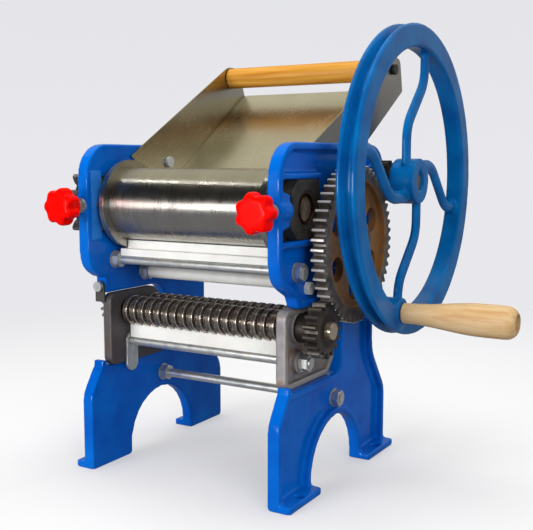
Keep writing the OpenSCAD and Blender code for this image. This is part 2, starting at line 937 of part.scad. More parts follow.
module drive_gear_key() {
    color("darkgray")
        seat()
            key_slot(rear_axis, rear_journal_d / 2, drive_key_angle, drive_key_x0, gear_x1 + gear_hub_rise);
}

// Crank: a shaft through both frames with a pinion, a collar and the handwheel

wheel_key_angle = 90;
wheel_key_x0 = hub_x0 + 2;
collar_len = 9;
collar_x1 = boss_x + side_gap + collar_len;
spacer_d = crank_d + 8;

module crank_shaft() {
    color("gray")
        seat()
            difference() {
                rod_x(crank_axis, -collar_x1 - shaft_proud, crank_x1, crank_d);
                key_slot(crank_axis, crank_d / 2, wheel_key_angle, wheel_key_x0, crank_x1 + over);
            }
}

module shaft_collar() {
    color("gray")
        seat()
            ring_x(crank_axis, -collar_x1, -boss_x - side_gap, crank_d + 10, crank_d);
}

module crank_pinion() {
    lap = 1;
    color("dimgray")
        seat()
            union() {
                gear(crank_axis, gear_x0 - lap, gear_x1 + lap, pinion_teeth, drive_module, drive_backlash,
                     mesh_phase(0, drive_teeth, pinion_teeth, pinion_angle), crank_d);
                ring_x(crank_axis, boss_x + side_gap, gear_x0 - lap, spacer_d, crank_d);
                ring_x(crank_axis, gear_x1 + lap, hub_x0, spacer_d, crank_d);
            }
}

// One S-shaped spoke: straight ends joined by two opposite bends, swept as an oval bar
spoke_bend = 45;
spoke_bend_r = 29;
spoke_start = [hub_d / 2 - 6, 13];
spoke_straight = 22;
spoke_slant = 32.5;
spoke_sides = 12;
bend_steps = 5;
bend_1 = spoke_start + [spoke_straight, 0];
bend_2 = bend_1 + spoke_bend_r * [sin(spoke_bend), cos(spoke_bend) - 1]
    + spoke_slant * [cos(spoke_bend), -sin(spoke_bend)];
spoke_end_y = bend_2[1] - spoke_bend_r * (1 - cos(spoke_bend));
spoke_end = [sqrt(pow(wheel_d / 2 - rim_depth / 2, 2) - pow(spoke_end_y, 2)), spoke_end_y];

// Stations along the spoke: point and heading
spoke_path = concat(
    [[spoke_start, 0]],
    [for (i = [0 : bend_steps])
        let (a = spoke_bend * i / bend_steps)
        [bend_1 + spoke_bend_r * [sin(a), cos(a) - 1], -a]],
    [for (i = [0 : bend_steps])
        let (a = spoke_bend * (1 - i / bend_steps))
        [bend_2 + spoke_bend_r * [sin(spoke_bend) - sin(a), cos(spoke_bend) - cos(a)], -a]],
    [[spoke_end, 0]]);

module spoke() {
    n = spoke_sides;
    rings = len(spoke_path);
    points = [for (s = spoke_path, k = [0 : n - 1])
        let (
            across = spoke_w / 2 * cos(k * 360 / n),
            height = spoke_t / 2 * sin(k * 360 / n)
        )
        [s[0][0] - across * sin(s[1]), s[0][1] + across * cos(s[1]), height]];
    sides = [for (i = [0 : rings - 2], k = [0 : n - 1])
        let (a = i * n + k, b = i * n + (k + 1) % n)
        each [[a, b + n, b], [a, a + n, b + n]]];
    last = (rings - 1) * n;
    ends = [for (k = [1 : n - 2])
        each [[0, k, k + 1], [last, last + k + 1, last + k]]];
    polyhedron(points, concat(sides, ends));
}

module handwheel() {
    out = wheel_d / 2;
    in = out - rim_depth;
    edge = 1.5;
    lip = 3.5;
    groove = out - groove_depth;
    groove_half = 1.5;
    color("dodgerblue")
        seat()
            difference() {
                union() {
                    turned(crank_axis)
                        polygon([[in, rim_x0 + edge], [in + edge, rim_x0], [out - edge, rim_x0],
                                 [out, rim_x0 + edge], [out, rim_x0 + lip],
                                 [groove, wheel_mid - groove_half], [groove, wheel_mid + groove_half],
                                 [out, hub_x1 - lip], [out, hub_x1 - edge],
                                 [out - edge, hub_x1], [in + edge, hub_x1], [in, hub_x1 - edge]]);
                    rod_x(crank_axis, hub_x0, hub_x1, hub_d);
                    translate([wheel_mid, crank_axis[0], crank_axis[1]])
                        rotate([90, 0, 90])
                            for (i = [0 : 3])
                                rotate(i * 90)
                                    spoke();
                    rod_x(handle_pos, rim_x0, handle_boss_x1, handle_boss_d);
                }
                rod_x(crank_axis, hub_x0 - over, hub_x1 + over, crank_d);
                key_slot(crank_axis, crank_d / 2, wheel_key_angle, wheel_key_x0, hub_x1 + over);
                rod_x(handle_pos, rim_x0 - over, handle_boss_x1 + over, spindle_d);
            }
}

module wheel_key() {
    color("darkgray")
        seat()
            key_slot(crank_axis, crank_d / 2, wheel_key_angle, wheel_key_x0, crank_x1);
}

// Spindle riveted into the rim, with a head that keeps the turning handle on

module handle_spindle() {
    rivet_proud = 2;
    color("gray")
        seat()
            union() {
                rod_x(handle_pos, rim_x0 - rivet_proud, spindle_head_x0 + over, spindle_d);
                rod_x(handle_pos, spindle_head_x0, spindle_head_x0 + spindle_head_t, spindle_head_d);
            }
}

module wooden_handle() {
    base_r = spindle_d / 2 + 4.8;
    big_r = handle_d / 2;
    foot_len = 6;
    grip_end = 27.4;
    swell_end = handle_len - grip_end;
    nose_len = 10;
    nose_drop = 8;
    steps = 10;
    color("burlywood")
        seat()
            difference() {
                turned(handle_pos)
                    polygon(concat(
                        [[0, handle_x0], [base_r - 1, handle_x0], [base_r, handle_x0 + 1]],
                        [for (i = [0 : steps])
                            let (s = i / steps)
                            [base_r + (big_r - base_r) * (1 - cos(s * 180)) / 2,
                             handle_x0 + foot_len + s * (swell_end - foot_len)]],
                        [for (a = [0 : 15 : 75])
                            [big_r - nose_drop * (1 - cos(a)), handle_x1 - nose_len * (1 - sin(a))]],
                        [[big_r - nose_drop, handle_x1], [0, handle_x1]]));
                rod_x(handle_pos, handle_x0 - over, handle_x1 + over, spindle_d + 2 * running_fit);
                rod_x(handle_pos, handle_x1 - head_recess, handle_x1 + over, spindle_head_d + 1);
            }
}

// Cutter unit: two cast plates, tied by a rod, carry two rollers of interleaved discs

plate_front_r = 8;
plate_back_r = 5;
cutter_corners = [
    [cutter_front, shelf_z, plate_front_r],
    [cutter_back - 12, shelf_z, plate_back_r],
    [cutter_back, shelf_z + 13, plate_back_r],
    [cutter_back, cutter_top - 20, plate_back_r],
    [cutter_back - 24, cutter_top, plate_back_r],
    [cutter_front, cutter_top, plate_front_r]
];

module cutter_plate() {
    boss_d = cutter_bush_d + 6;
    difference() {
        union() {
            slab(cutter_in, cutter_in + cutter_web_t)
                polygon(outline(cutter_corners));
            slab(cutter_in, cutter_out)
                difference() {
                    polygon(outline(cutter_corners));
                    polygon(outline(inset(cutter_corners, cutter_rim)));
                }
            rod_x(cutter_axis, cutter_in, cutter_out, boss_d);
            rod_x(rear_cutter_axis, cutter_in, cutter_out, boss_d);
            rod_x(cutter_rod_pos, cutter_in, cutter_out, nut_af + 6);
        }
        rod_x(cutter_axis, cutter_in - over, cutter_out + over, cutter_bush_d);
        rod_x(rear_cutter_axis, cutter_in - over, cutter_out + over, cutter_bush_d);
        rod_x(cutter_rod_pos, cutter_in - over, cutter_out + over, cutter_rod_d);
    }
}

module left_cutter_plate() {
    color("dimgray")
        seat()
            mirror([1, 0, 0])
                cutter_plate();
}

module right_cutter_plate() {
    color("dimgray")
        seat()
            cutter_plate();
}

module cutter_bushes() {
    color("peru")
        seat()
            both_sides()
                for (p = [cutter_axis, rear_cutter_axis])
                    ring_x(p, cutter_in, cutter_out, cutter_bush_d, cutter_shaft_d + 2 * running_fit);
}

module cutter_rod() {
    end = cutter_out + washer_t + nut_t + 1.4;
    color("silver")
        seat()
            rod_x(cutter_rod_pos, -end, end, cutter_rod_d);
}

module cutter_rod_nuts() {
    color("lightgray")
        seat()
            both_sides() {
                nut_x(cutter_rod_pos, cutter_out + washer_t, cutter_rod_d);
                ring_x(cutter_rod_pos, cutter_out, cutter_out + washer_t, washer_d, cutter_rod_d);
            }
}

// Discs of one cutter roller, as positions along X
function disc_x(i, offset) = (i - (cutter_discs - 1) / 2) * cutter_step + offset;

module cutter_roller(pos, offset, x1) {
    end = cutter_in - side_gap;
    union() {
        rod_x(pos, -cutter_sync_x0 - cutter_sync_w - 2, x1, cutter_shaft_d);
        rod_x(pos, -end, end, cutter_core_d);
        for (i = [0 : cutter_discs - 1])
            rod_x(pos, disc_x(i, offset) - cutter_blade / 2, disc_x(i, offset) + cutter_blade / 2,
                  cutter_disc_d);
    }
}

module front_cutter_roller() {
    gear_shaft_proud = 5;
    color("darkgray")
        seat()
            cutter_roller(cutter_axis, -cutter_step / 4, gear_x1 + gear_shaft_proud);
}

module rear_cutter_roller() {
    plain_shaft_proud = 2;
    color("darkgray")
        seat()
            cutter_roller(rear_cutter_axis, cutter_step / 4, cutter_out + plain_shaft_proud);
}

module cutter_gear() {
    color("dimgray")
        seat()
            union() {
                gear(cutter_axis, gear_x0, gear_x1, cutter_teeth, drive_module, drive_backlash,
                     mesh_phase(0, drive_teeth, cutter_teeth, cutter_angle), cutter_shaft_d);
                ring_x(cutter_axis, cutter_out + side_gap, gear_x0, cutter_shaft_d + 10, cutter_shaft_d);
            }
}

module front_cutter_sync_gear() {
    color("gray")
        seat()
            gear(cutter_axis, -cutter_sync_x0 - cutter_sync_w, -cutter_sync_x0, cutter_sync_teeth,
                 cutter_sync_module, drive_backlash, 0, cutter_shaft_d);
}

module rear_cutter_sync_gear() {
    color("gray")
        seat()
            gear(rear_cutter_axis, -cutter_sync_x0 - cutter_sync_w, -cutter_sync_x0, cutter_sync_teeth,
                 cutter_sync_module, drive_backlash,
                 mesh_phase(0, cutter_sync_teeth, cutter_sync_teeth, 0), cutter_shaft_d);
}

// White comb that rests on the cutter rod; its fingers clear the grooves of the front roller
module noodle_comb() {
    comb_t = 3;
    comb_clear = 0.5;
    saddle = 1;
    low = cutter_rod_pos[1] + cutter_rod_d / 2 - saddle;
    top = cutter_axis[1] - cutter_disc_d / 2 - comb_clear;
    finger_top = cutter_axis[1] - cutter_core_d / 2 - comb_clear;
    finger_w = cutter_step - cutter_blade - 2 * comb_clear;
    half = cutter_in - link_t - 3 * side_gap;
    y0 = cutter_axis[0] - comb_t / 2;
    color("whitesmoke")
        seat()
            difference() {
                union() {
                    translate([-half, y0, low])
                        cube([2 * half, comb_t, top - low]);
                    for (i = [0 : cutter_discs - 2])
                        translate([disc_x(i, cutter_step / 4) - finger_w / 2, y0, top - over])
                            cube([finger_w, comb_t, finger_top - top + over]);
                }
                rod_x(cutter_rod_pos, -inner_x, inner_x, cutter_rod_d);
            }
}

// Flat link that hangs on the left end of the cutter rod
module hanging_link() {
    x1 = -cutter_in + side_gap + link_t;
    bore = cutter_rod_d + 2 * running_fit;
    color("silver")
        seat()
            difference() {
                union() {
                    rod_x(cutter_rod_pos, x1 - link_t, x1, link_w);
                    rod_x(cutter_rod_pos - [0, link_len - link_w], x1 - link_t, x1, link_w);
                    translate([x1 - link_t, cutter_rod_pos[0] - link_w / 2,
                               cutter_rod_pos[1] - link_len + link_w])
                        cube([link_t, link_w, link_len - link_w]);
                }
                rod_x(cutter_rod_pos, x1 - link_t - over, x1 + over, bore);
            }
}

// Latch that hangs in front of the left cutter plate and swings aside to free the unit

module cutter_latch() {
    color("dimgray")
        seat()
            mirror([1, 0, 0])
                difference() {
                    union() {
                        translate([screw_x - latch_w / 2, latch_pos[0],
                                   latch_pos[1] - latch_len + latch_w / 2])
                            cube([latch_w, latch_t, latch_len - latch_w / 2]);
                        rod_y(screw_x, latch_pos[0], latch_back, latch_pos[1], latch_w);
                    }
                    rod_y(screw_x, latch_pos[0] - over, latch_back + over, latch_pos[1],
                          latch_screw_d + 2 * running_fit);
                }
}

module latch_screw() {
    head_back_y = latch_pos[0] - side_gap;
    color("lightgray")
        seat()
            mirror([1, 0, 0])
                union() {
                    rod_y(screw_x, head_back_y - over, latch_back + latch_grip, latch_pos[1],
                          latch_screw_d);
                    rod_y(screw_x, head_back_y - screw_head_t, head_back_y, latch_pos[1],
                          latch_screw_d + 4);
                }
}

// Hopper: a sloping floor between two leaning side walls, and a wooden bar across the top

module hopper_floor() {
    hem_d = 4;
    low_half = wall_x(floor_start[1]) - sheet_t / cos(wall_lean) - sheet_clear;
    top_half = wall_x(floor_end[1]) - sheet_t / cos(wall_lean) - sheet_clear;
    color("lightgray")
        seat()
            translate([0, floor_start[0], floor_start[1]])
                rotate([floor_slope, 0, 0]) {
                    linear_extrude(sheet_t)
                        polygon([[-low_half, 0], [low_half, 0],
                                 [top_half, floor_len], [-top_half, floor_len]]);
                    // rolled edge along the top
                    translate([-low_half, floor_len, sheet_t - hem_d / 2])
                        rotate([0, 90, 0])
                            cylinder(d = hem_d, h = 2 * low_half);
                }
}

module hopper_wall() {
    lip_top = front_axis[1] + block_h / 2 + block_lip_h;
    tip = [front_axis[0] + 11.4, lip_top + 14.7];
    heel = [front_axis[0] + 26.4, lip_top + 4.7];
    front_low = on_floor(0, wall_below);
    ear = hopper_screw_b + [6, -8];
    ear_end = on_floor(46, wall_below);
    back_low = on_floor(floor_len + wall_below, wall_below);
    back_top = bar_pos + [bar_d / 2 + 5, bar_d / 2 + 1];
    crest = bar_pos + [-4, bar_d / 2 + 1.5];
    corners = [
        [tip[0], tip[1], 1],
        [heel[0], heel[1], 6],
        [front_low[0], front_low[1], 4],
        [ear[0], ear[1], 6],
        [ear_end[0], ear_end[1], 8],
        [back_low[0], back_low[1], 2],
        [back_top[0], back_top[1], 9],
        [crest[0], crest[1], 20]
    ];
    reach = 10;
    difference() {
        translate([wall_face, 0, wall_pivot_z])
            rotate([0, wall_lean, 0])
                translate([0, 0, -wall_pivot_z])
                    slab(-sheet_t, 0)
                        polygon(outline(corners));
        for (p = [hopper_screw_a, hopper_screw_b, bar_pos])
            rod_x(p, inner_x - reach, inner_x + reach, hopper_screw_d);
    }
}

module hopper_left_wall() {
    color("silver")
        seat()
            mirror([1, 0, 0])
                hopper_wall();
}

module hopper_right_wall() {
    color("silver")
        seat()
            hopper_wall();
}

module hopper_screws() {
    proud = 6;
    color("lightgray")
        seat()
            both_sides()
                for (p = [hopper_screw_a, hopper_screw_b]) {
                    face = wall_x(p[1] - screw_head_d / 2) - sheet_t - sheet_clear;
                    rod_x(p, face - screw_head_t, face, screw_head_d);
                    rod_x(p, face - over, web_x + proud, hopper_screw_d);
                }
}

module wooden_bar() {
    color("peru")
        seat()
            difference() {
                rod_x(bar_pos, -bar_half, bar_half, bar_d);
                both_sides()
                    rod_x(bar_pos, bar_half - bar_screw_len, bar_half + over, hopper_screw_d);
            }
}

module bar_screws() {
    face = wall_x(bar_pos[1] + screw_head_d / 2) + sheet_clear;
    color("lightgray")
        seat()
            both_sides() {
                rod_x(bar_pos, bar_half - bar_screw_len, face + over, hopper_screw_d);
                rod_x(bar_pos, face, face + screw_head_t, screw_head_d);
            }
}

left_frame();
right_frame();
tie_rods();
tie_rod_nuts();
tie_rod_washers();
rear_roller_bushes();
crank_bushes();
roller_scraper();
guide_tube();
front_bearing_blocks();
front_roller_bushes();
left_knob();
left_adjusting_screw();
right_knob();
right_adjusting_screw();
front_roller();
front_roller_discs();
front_roller_shaft();
front_sync_gear();
rear_roller();
rear_roller_shaft();
rear_sync_gear();
drive_gear();
drive_gear_key();
crank_shaft();
crank_pinion();
handwheel();
wheel_key();
shaft_collar();
handle_spindle();
wooden_handle();
left_cutter_plate();
right_cutter_plate();
cutter_bushes();
cutter_rod();
cutter_rod_nuts();
noodle_comb();
hanging_link();
cutter_latch();
latch_screw();
front_cutter_roller();
rear_cutter_roller();
cutter_gear();
front_cutter_sync_gear();
rear_cutter_sync_gear();
hopper_floor();
hopper_left_wall();
hopper_right_wall();
hopper_screws();
wooden_bar();
bar_screws();
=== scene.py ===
"""Looks of a hand-cranked noodle press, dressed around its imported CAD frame.

Two cast side frames carry a pair of sheeting rollers, a slide-in cutter unit, the gear train with its
handwheel, and a sheet-metal hopper. The sections follow the press as it is put together. Lengths are in
metres.
"""

import math

import bmesh
import bpy
import numpy as np
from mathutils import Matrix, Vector


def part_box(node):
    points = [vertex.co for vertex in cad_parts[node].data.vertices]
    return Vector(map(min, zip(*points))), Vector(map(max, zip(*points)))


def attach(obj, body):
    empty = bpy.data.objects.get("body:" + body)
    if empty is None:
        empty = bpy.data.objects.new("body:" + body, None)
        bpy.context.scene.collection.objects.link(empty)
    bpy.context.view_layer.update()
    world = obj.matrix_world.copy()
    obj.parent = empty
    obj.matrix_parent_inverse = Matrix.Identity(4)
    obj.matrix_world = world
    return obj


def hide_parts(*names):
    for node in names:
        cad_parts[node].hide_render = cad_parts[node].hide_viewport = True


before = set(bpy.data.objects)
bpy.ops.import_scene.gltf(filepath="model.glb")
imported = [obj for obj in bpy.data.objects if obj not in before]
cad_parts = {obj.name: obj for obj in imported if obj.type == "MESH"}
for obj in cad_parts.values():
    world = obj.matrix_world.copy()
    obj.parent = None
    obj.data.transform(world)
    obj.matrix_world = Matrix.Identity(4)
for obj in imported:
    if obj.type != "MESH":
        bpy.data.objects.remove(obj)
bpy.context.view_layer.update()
mm = 0.001


# Side frames
# Two flanged sand castings of grey iron stand on four feet and carry every shaft. The mould leaves soft edges
# and filleted corners, and a thick coat of glossy blue enamel is sprayed over them.

def rgb(code):
    """An sRGB hex colour as linear RGBA."""
    parts = [int(code[i:i + 2], 16) / 255 for i in (1, 3, 5)]
    return [c / 12.92 if c <= 0.04045 else ((c + 0.055) / 1.055) ** 2.4 for c in parts] + [1.0]


def add(tree, kind, inputs=None, **settings):
    """Add a node. Its inputs are values, or outputs to link from.

    They are keyed by name, or by number where a node has several of one name.
    """
    node = tree.nodes.new(kind)
    for key, value in settings.items():
        setattr(node, key, value)
    for key, value in (inputs or {}).items():
        if isinstance(value, bpy.types.NodeSocket):
            tree.links.new(value, node.inputs[key])
        else:
            node.inputs[key].default_value = value
    return node


def new_finish(name, **constants):
    """A material with one Principled shader, its tree and the Object coordinates.

    Constants go on the shader's own sockets.
    """
    material = bpy.data.materials.new(name)
    material.use_nodes = True
    tree = material.node_tree
    for key, value in constants.items():
        tree.nodes["Principled BSDF"].inputs[key.replace("_", " ")].default_value = value
    return material, tree, add(tree, "ShaderNodeTexCoord").outputs["Object"]


def wire(tree, **outputs):
    """Link outputs to the sockets of a material's shader."""
    for key, output in outputs.items():
        tree.links.new(output, tree.nodes["Principled BSDF"].inputs[key.replace("_", " ")])


def noise(tree, where, size, detail, **more):
    """A noise pattern with lumps of about the given size."""
    inputs = {"Vector": where, "Scale": 1 / size, "Detail": detail, **more}
    return add(tree, "ShaderNodeTexNoise", inputs).outputs[0]


def spread(tree, value, start, end, low=0.0, high=1.0, **settings):
    """A value that goes from low to high while another goes from start to end."""
    inputs = {0: value, 1: start, 2: end, 3: low, 4: high}
    return add(tree, "ShaderNodeMapRange", inputs, **settings).outputs[0]


def varied(tree, pattern, low, high):
    """A value from low to high over 0.3 to 0.7, where most of a noise pattern lies."""
    return spread(tree, pattern, 0.3, 0.7, low, high)


def tones(tree, value, stops):
    """A colour that follows a value through (place, hex colour) stops."""
    ramp = add(tree, "ShaderNodeValToRGB", {"Fac": value})
    while len(ramp.color_ramp.elements) < len(stops):
        ramp.color_ramp.elements.new(1)
    for element, (place, code) in zip(ramp.color_ramp.elements, stops):
        element.position = place
        element.color = rgb(code)
    return ramp.outputs[0]


def mix(tree, share, one, two):
    """One colour, and as the share grows the other."""
    return add(tree, "ShaderNodeMix", {0: share, 6: one, 7: two}, data_type="RGBA").outputs[2]


def calc(tree, operation, *values):
    """A Math node on one or two values."""
    return add(tree, "ShaderNodeMath", dict(enumerate(values)), operation=operation).outputs[0]


def bump(tree, height, strength, depth, **more):
    """A normal that follows a pattern of heights."""
    inputs = {"Height": height, "Strength": strength, "Distance": depth, **more}
    return add(tree, "ShaderNodeBump", inputs).outputs[0]


def bake(piece):
    """Turn what the modifiers make into the piece's plain mesh."""
    graph = bpy.context.evaluated_depsgraph_get()
    mesh = bpy.data.meshes.new_from_object(piece.evaluated_get(graph), depsgraph=graph)
    piece.modifiers.clear()
    piece.data = mesh
    return piece


def show(name, mesh):
    """A new object in the scene for a mesh."""
    piece = bpy.data.objects.new(name, mesh)
    bpy.context.scene.collection.objects.link(piece)
    return piece


def merged_copy(node, name):
    """A copy of a CAD node with its loose triangles joined."""
    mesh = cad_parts[node].data.copy()
    work = bmesh.new()
    work.from_mesh(mesh)
    bmesh.ops.remove_doubles(work, verts=work.verts, dist=0.002 * mm)
    work.to_mesh(mesh)
    work.free()
    mesh.normals_split_custom_set([(0, 0, 0)] * len(mesh.loops))
    mesh.materials.clear()
    return show(name, mesh)


def cast_skin(node, material, voxel, passes):
    """A copy of a CAD node with the soft edges and filleted corners that a mould leaves."""
    piece = merged_copy(node, node + "_casting")
    skin = piece.modifiers.new("skin", "REMESH")
    skin.mode = "VOXEL"
    skin.voxel_size = voxel
    skin.use_smooth_shade = True
    soften = piece.modifiers.new("soften", "SMOOTH")
    soften.factor = 0.5
    soften.iterations = passes
    bake(piece)
    piece.data.materials.append(material)
    return piece


def fit(piece, body, slot, *nodes):
    """The piece rides on its body and stands for the CAD nodes. The slot is not used."""
    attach(piece, body)
    if nodes:
        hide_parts(*nodes)


# Stove enamel, sprayed thick over rough iron: a glossy coat with orange peel and the ripple of the casting.
frame_enamel, tree, where = new_finish("blue_stove_enamel", IOR=1.52, Specular_IOR_Level=0.11)
cloud = noise(tree, where, 38 * mm, 3)
scuff = noise(tree, where, 9 * mm, 6, Roughness=0.7)
tone = tones(tree, cloud, [(0.3, "#0150B2"), (0.7, "#0368CC")])
crown = add(tree, "ShaderNodeNewGeometry").outputs["Pointiness"]
# The crowns of the edges are painted a lighter blue in patches: a painted highlight along them.
crown_highlight = spread(tree, crown, 0.54, 0.62)
painted_edge_highlight = calc(tree, "MULTIPLY", crown_highlight, scuff)
coat = mix(tree, painted_edge_highlight, tone, rgb("#3F8FE0"))
gloss = spread(tree, scuff, 0.3, 0.8, 0.07, 0.18)
peel = noise(tree, where, 2.4 * mm, 2)
ripple = noise(tree, where, 16 * mm, 1)
wavy = bump(tree, ripple, 0.35, 0.9 * mm)
fine = bump(tree, peel, 0.3, 0.12 * mm, Normal=wavy)
wire(tree, Base_Color=coat, Roughness=gloss, Normal=fine)

for node in ("left_frame", "right_frame"):
    fit(cast_skin(node, frame_enamel, voxel=1.2 * mm, passes=10), "frame", "blue_enamel", node)

# A thin painted strip on each inner face closes the front end of the bearing window.
inner_face = 90 * mm
strip_size = Vector((0.8, 13, 60)) * mm
strip_y, strip_z = -91.4 * mm, 236 * mm
for name, side in (("left", -1), ("right", 1)):
    mesh = bpy.data.meshes.new(name + "_window_strip")
    work = bmesh.new()
    bmesh.ops.create_cube(work, size=1)
    bmesh.ops.scale(work, vec=strip_size, verts=work.verts)
    middle = (side * (inner_face - strip_size.x / 2), strip_y, strip_z)
    bmesh.ops.translate(work, vec=middle, verts=work.verts)
    bmesh.ops.bevel(work, geom=work.edges, offset=0.3 * mm, segments=2, affect="EDGES")
    work.to_mesh(mesh)
    work.free()
    mesh.materials.append(frame_enamel)
    fit(show(mesh.name, mesh), "frame", "blue_enamel")


# Tie rods
# Three zinc-plated steel rods hold the frames apart, with a nut and a washer on both faces of each web.
# The nuts are cold-formed hexagons with chamfered corners.

def closed_skin(name, loops, crease):
    """A skin over loops of points, each joined to the next and the last to the first."""
    count, size = len(loops), len(loops[0])
    faces = []
    for i in range(count):
        one, two = i * size, (i + 1) % count * size
        faces += [(one + k, one + (k + 1) % size, two + (k + 1) % size, two + k) for k in range(size)]
    mesh = bpy.data.meshes.new(name)
    mesh.from_pydata([point for loop in loops for point in loop], [], faces)
    work = bmesh.new()
    work.from_mesh(mesh)
    bmesh.ops.recalc_face_normals(work, faces=work.faces)
    work.to_mesh(mesh)
    work.free()
    mesh.shade_smooth()
    mesh.set_sharp_from_angle(angle=math.radians(crease))
    return show(name, mesh)


def turned_ring(name, start, end, bore, outer, edge, centre=(0, 0), segments=96):
    """A ring along X from start to end, between two radii, with its outer edges chamfered."""
    profile = [(start, bore), (start, outer - edge), (start + edge, outer),
               (end - edge, outer), (end, outer - edge), (end, bore)]
    turn = np.linspace(0, 2 * math.pi, segments, endpoint=False)
    y, z = centre
    loops = [[(x, y + r * math.cos(a), z + r * math.sin(a)) for a in turn] for x, r in profile]
    return closed_skin(name, loops, crease=28)


def hex_nut(name, across, thick, bore):
    """A nut with its axis along X: flat sides, and end faces chamfered at 30 degrees to a circle."""
    side, end, hole = across / 2, thick / 2, bore / 2
    face = side * 0.95
    sixth = math.pi / 3
    loops = []
    for a in np.linspace(0, 2 * math.pi, 72, endpoint=False):
        reach = side / math.cos((a + sixth / 2) % sixth - sixth / 2)
        drop = (reach - face) * math.tan(math.radians(30))
        profile = [(-end, hole), (-end, face), (drop - end, reach),
                   (end - drop, reach), (end, face), (end, hole)]
        loops.append([(x, r * math.cos(a), r * math.sin(a)) for x, r in profile])
    return closed_skin(name, loops, crease=22)


def pattern(piece):
    """Take a piece out of the scene, so that it only serves as a pattern for a Geometry Nodes tree."""
    bpy.context.scene.collection.objects.unlink(piece)
    return piece


def new_tree(name, **inputs):
    """A Geometry Nodes tree with inputs of the given kinds, and the sockets they come in by."""
    tree = bpy.data.node_groups.new(name, "GeometryNodeTree")
    for label, kind in inputs.items():
        tree.interface.new_socket(label, in_out="INPUT", socket_type="NodeSocket" + kind)
    tree.interface.new_socket("Pieces", in_out="OUTPUT", socket_type="NodeSocketGeometry")
    return tree, add(tree, "NodeGroupInput").outputs


def along_facing(tree, axis):
    """A rotation that lays an axis along the way each point faces."""
    facing = add(tree, "GeometryNodeInputNamedAttribute", {"Name": "facing"}, data_type="FLOAT_VECTOR")
    return add(tree, "FunctionNodeAlignRotationToVector", {"Vector": facing.outputs[0]}, axis=axis).outputs[0]


def end_tree(tree, given, shape, rotation):
    """Set the shape on every point, make it real and give it its finish."""
    inputs = {"Points": given["Points"], "Instance": shape, "Rotation": rotation}
    copies = add(tree, "GeometryNodeInstanceOnPoints", inputs).outputs[0]
    solid = add(tree, "GeometryNodeRealizeInstances", {"Geometry": copies}).outputs[0]
    dressed = add(tree, "GeometryNodeSetMaterial", {"Geometry": solid, "Material": given["Finish"]})
    add(tree, "NodeGroupOutput", {"Pieces": dressed.outputs[0]})


# This tree sets one pattern piece on every point, turned at random about the way the point faces.
on_points, given = new_tree("pieces_on_points", Points="Geometry", Piece="Object", Finish="Material",
                            Seed="Int")
spin = add(on_points, "FunctionNodeRandomValue", {2: 0.0, 3: 2 * math.pi, 8: given["Seed"]},
           data_type="FLOAT")
about = add(on_points, "FunctionNodeAxisAngleToRotation", {"Axis": (1, 0, 0), "Angle": spin.outputs[1]})
laid = add(on_points, "FunctionNodeRotateRotation", {0: along_facing(on_points, "X"), 1: about.outputs[0]},
           rotation_space="LOCAL").outputs[0]
shape = add(on_points, "GeometryNodeObjectInfo", {"Object": given["Piece"]}).outputs["Geometry"]
end_tree(on_points, given, shape, laid)


def set_out(name, tree, points, facing, **sockets):
    """Run a tree on points, each with the way it faces, and bake the pieces into one plain mesh."""
    mesh = bpy.data.meshes.new(name)
    mesh.from_pydata([tuple(p) for p in points], [], [])
    mesh.attributes.new("facing", "FLOAT_VECTOR", "POINT").data.foreach_set(
        "vector", np.array(facing, np.float32).ravel())
    piece = show(name, mesh)
    modifier = piece.modifiers.new(name, "NODES")
    modifier.node_group = tree
    for item in tree.interface.items_tree:
        if item.in_out == "INPUT" and item.name in sockets:
            modifier[item.identifier] = sockets[item.name]
    return bake(piece)


def loose_centres(node):
    """The middle of each separate solid of a CAD node."""
    work = bmesh.new()
    work.from_mesh(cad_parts[node].data)
    bmesh.ops.remove_doubles(work, verts=work.verts, dist=0.002 * mm)
    left, centres = set(work.verts), []
    while left:
        reached, lump = [left.pop()], []
        while reached:
            vert = reached.pop()
            lump.append(vert.co.copy())
            for edge in vert.link_edges:
                other = edge.other_vert(vert)
                if other in left:
                    left.remove(other)
                    reached.append(other)
        lump = np.array(lump)
        centres.append((lump.min(0) + lump.max(0)) / 2)
    work.free()
    return sorted(centres, key=lambda c: tuple(np.round(c, 4)))


# Bright zinc plate: a soft-edged mirror with cloudy patches where the bath left the coat thicker.
zinc, tree, where = new_finish("bright_zinc_plate", Metallic=0.85)
cloud = noise(tree, where, 7 * mm, 4)
tone = tones(tree, cloud, [(0.3, "#C4C7C6"), (0.55, "#DADCDA"), (0.75, "#CFCBBB")])
gloss = varied(tree, cloud, 0.32, 0.42)
grit = noise(tree, where, 0.9 * mm, 2)
fine = bump(tree, grit, 0.05, 0.02 * mm)
wire(tree, Base_Color=tone, Roughness=gloss, Normal=fine)


def dress(material, *nodes):
    """CAD nodes that are carried over take the material."""
    for node in nodes:
        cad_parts[node].data.materials.clear()
        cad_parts[node].data.materials.append(material)


dress(zinc, "tie_rods")
rod_nut = pattern(hex_nut("rod_nut_pattern", across=13 * mm, thick=6.5 * mm, bore=8 * mm))
places = loose_centres("tie_rod_nuts")
fit(set_out("rod_nuts", on_points, places, [(1, 0, 0)] * len(places), Piece=rod_nut, Finish=zinc, Seed=4),
    "frame", "zinc_plate", "tie_rod_nuts")
washer = pattern(turned_ring("rod_washer_pattern", start=-0.8 * mm, end=0.8 * mm, bore=4.1 * mm,
                             outer=8 * mm, edge=0.3 * mm, segments=48))
places = loose_centres("tie_rod_washers")
fit(set_out("rod_washers", on_points, places, [(1, 0, 0)] * len(places), Piece=washer, Finish=zinc, Seed=9),
    "frame", "zinc_plate", "tie_rod_washers")


